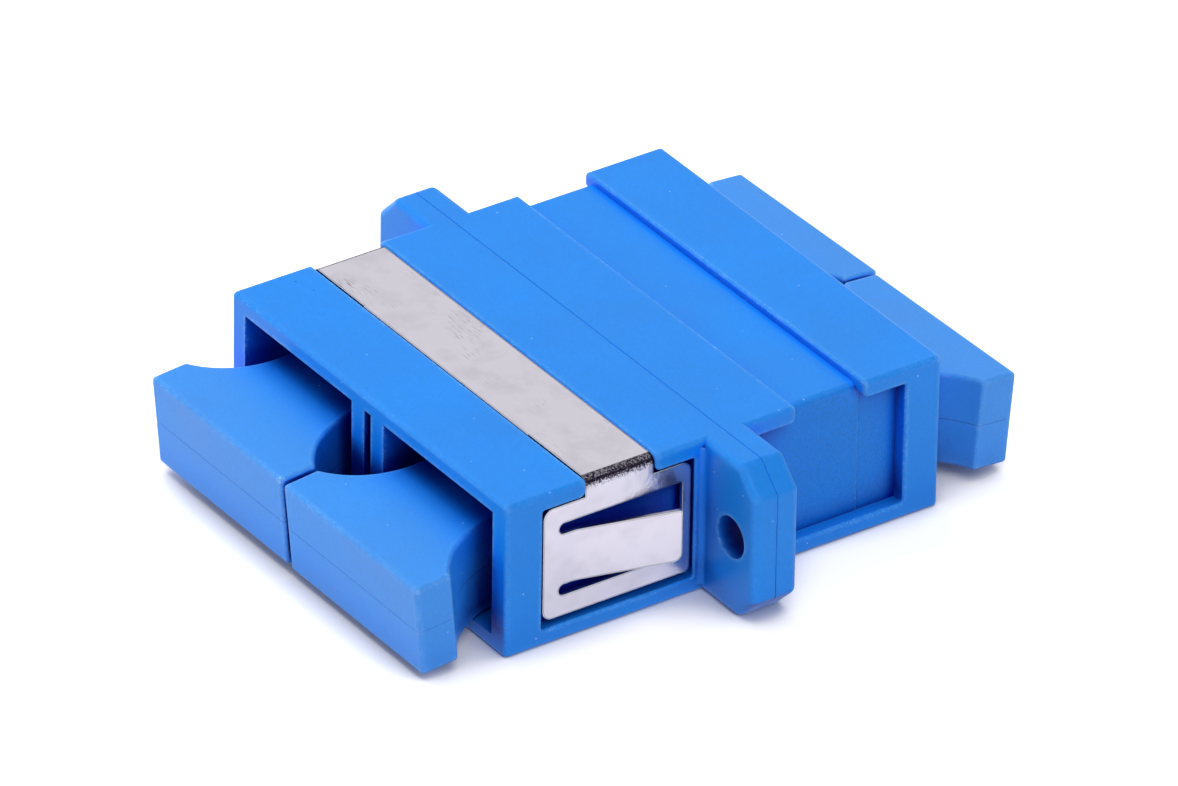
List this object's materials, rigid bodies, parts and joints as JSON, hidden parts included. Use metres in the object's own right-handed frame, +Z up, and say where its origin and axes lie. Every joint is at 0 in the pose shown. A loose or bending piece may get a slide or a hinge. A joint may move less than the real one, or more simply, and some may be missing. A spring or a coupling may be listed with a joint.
{
  "type": "fibre adapter",
  "caption": "Flanged fibre-optic coupling with side-by-side ports at each end, a sprung steel panel clip and pull-off dust caps.",
  "frame": {"origin": "on the underside, in the weld plane of the two housing halves, midway between the ports", "axes": "+X across the ports, +Y along the fibres from the front ports to the rear ports, +Z up"},
  "size_m": [0.0354, 0.0385, 0.0093],
  "materials": {
    "housing": "moulded, satin, bright blue",
    "dust_cap": "moulded, soft satin, bright blue",
    "clip_steel": "rolled stainless, satin",
    "latch_frame": "moulded, plain",
    "sleeve_ceramic": "ground white ceramic"
  },
  "bodies": {
    "adapter": {"front_housing_half": "housing", "rear_housing_half": "housing", "panel_clip": "clip_steel", "latch_frame_front_left": "latch_frame", "latch_frame_front_right": "latch_frame", "latch_frame_rear_left": "latch_frame", "latch_frame_rear_right": "latch_frame", "alignment_sleeve_left": "sleeve_ceramic", "alignment_sleeve_right": "sleeve_ceramic"},
    "cap_front_left": {"dust_cap_front_left": "dust_cap"},
    "cap_front_right": {"dust_cap_front_right": "dust_cap"},
    "cap_rear_left": {"dust_cap_rear_left": "dust_cap"},
    "cap_rear_right": {"dust_cap_rear_right": "dust_cap"}
  },
  "joints": [
    {"name": "cap_front_left_pull", "type": "slide", "parent": "adapter", "child": "cap_front_left", "axis": [0, -1, 0], "range_m": [0, 0.015]},
    {"name": "cap_front_right_pull", "type": "slide", "parent": "adapter", "child": "cap_front_right", "axis": [0, -1, 0], "range_m": [0, 0.015]},
    {"name": "cap_rear_left_pull", "type": "slide", "parent": "adapter", "child": "cap_rear_left", "axis": [0, 1, 0], "range_m": [0, 0.015]},
    {"name": "cap_rear_right_pull", "type": "slide", "parent": "adapter", "child": "cap_rear_right", "axis": [0, 1, 0], "range_m": [0, 0.015]}
  ]
}
